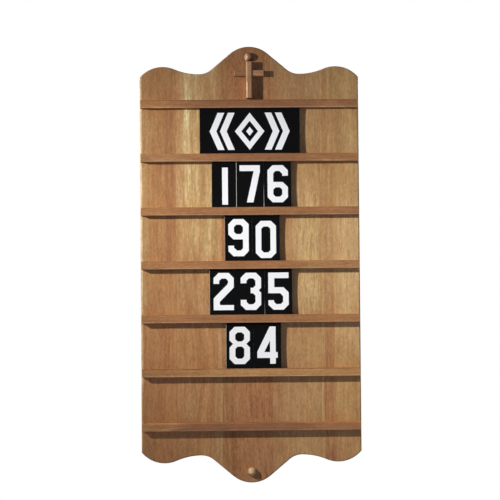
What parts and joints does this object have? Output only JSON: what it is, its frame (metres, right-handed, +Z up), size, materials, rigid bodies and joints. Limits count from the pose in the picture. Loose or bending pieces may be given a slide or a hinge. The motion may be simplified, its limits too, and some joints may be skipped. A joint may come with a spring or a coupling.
{
  "type": "hymn board",
  "caption": "Wall-hung wooden hymn board with a scrolled outline, grooved rails that hold sliding number cards, a small cross and domed plugs over the wall screws.",
  "frame": {"origin": "middle of the panel's flat back face, which lies on the wall", "axes": "+Z up along the panel, +X to the right of someone facing the board, front towards -Y, the wall on the +Y side"},
  "size_m": [0.46, 0.035, 0.9144],
  "materials": {
    "panel_wood": "satin lacquer",
    "rail_wood": "satin lacquer",
    "cross_wood": "satin lacquer",
    "plug_wood": "satin lacquer",
    "card_plastic": "matt black face, white core and numerals",
    "screw_steel": "zinc plated"
  },
  "bodies": {
    "board": {"stave_1": "panel_wood", "stave_2": "panel_wood", "stave_3": "panel_wood", "stave_4": "panel_wood", "stave_5": "panel_wood", "rail_1": "rail_wood", "rail_2": "rail_wood", "rail_3": "rail_wood", "rail_4": "rail_wood", "rail_5": "rail_wood", "rail_6": "rail_wood", "rail_7": "rail_wood", "cross_upright": "cross_wood", "cross_crossbar": "cross_wood", "wood_screws": "screw_steel"},
    "top_plug": {"top_plug": "plug_wood"},
    "bottom_plug": {"bottom_plug": "plug_wood"},
    "header_card": {"header_card": "card_plastic"},
    "card_1_left": {"card_1_left": "card_plastic"},
    "card_1_middle": {"card_1_middle": "card_plastic"},
    "card_1_right": {"card_1_right": "card_plastic"},
    "card_2_left": {"card_2_left": "card_plastic"},
    "card_2_right": {"card_2_right": "card_plastic"},
    "card_3_left": {"card_3_left": "card_plastic"},
    "card_3_middle": {"card_3_middle": "card_plastic"},
    "card_3_right": {"card_3_right": "card_plastic"},
    "card_4_left": {"card_4_left": "card_plastic"},
    "card_4_right": {"card_4_right": "card_plastic"}
  },
  "joints": [
    {"name": "top_plug_pull", "type": "slide", "parent": "board", "child": "top_plug", "axis": [0, -1, 0], "range_m": [0, 0.015]},
    {"name": "bottom_plug_pull", "type": "slide", "parent": "board", "child": "bottom_plug", "axis": [0, -1, 0], "range_m": [0, 0.015]},
    {"name": "header_card_slide", "type": "slide", "parent": "board", "child": "header_card", "axis": [1, 0, 0], "range_m": [-0.1239, 0.1227]},
    {"name": "card_1_left_slide", "type": "slide", "parent": "board", "child": "card_1_left", "axis": [1, 0, 0], "range_m": [-0.1481, 0]},
    {"name": "card_1_middle_lift", "type": "slide", "parent": "board", "child": "card_1_middle", "axis": [0, 0, 1], "range_m": [0, 0.0042]},
    {"name": "card_1_right_slide", "type": "slide", "parent": "board", "child": "card_1_right", "axis": [1, 0, 0], "range_m": [0, 0.1417]},
    {"name": "card_2_left_slide", "type": "slide", "parent": "board", "child": "card_2_left", "axis": [1, 0, 0], "range_m": [-0.1746, 0]},
    {"name": "card_2_right_slide", "type": "slide", "parent": "board", "child": "card_2_right", "axis": [1, 0, 0], "range_m": [0, 0.1666]},
    {"name": "card_3_left_slide", "type": "slide", "parent": "board", "child": "card_3_left", "axis": [1, 0, 0], "range_m": [-0.1421, 0]},
    {"name": "card_3_middle_lift", "type": "slide", "parent": "board", "child": "card_3_middle", "axis": [0, 0, 1], "range_m": [0, 0.0042]},
    {"name": "card_3_right_slide", "type": "slide", "parent": "board", "child": "card_3_right", "axis": [1, 0, 0], "range_m": [0, 0.1415]},
    {"name": "card_4_left_slide", "type": "slide", "parent": "board", "child": "card_4_left", "axis": [1, 0, 0], "range_m": [-0.1756, 0]},
    {"name": "card_4_right_slide", "type": "slide", "parent": "board", "child": "card_4_right", "axis": [1, 0, 0], "range_m": [0, 0.1656]}
  ]
}
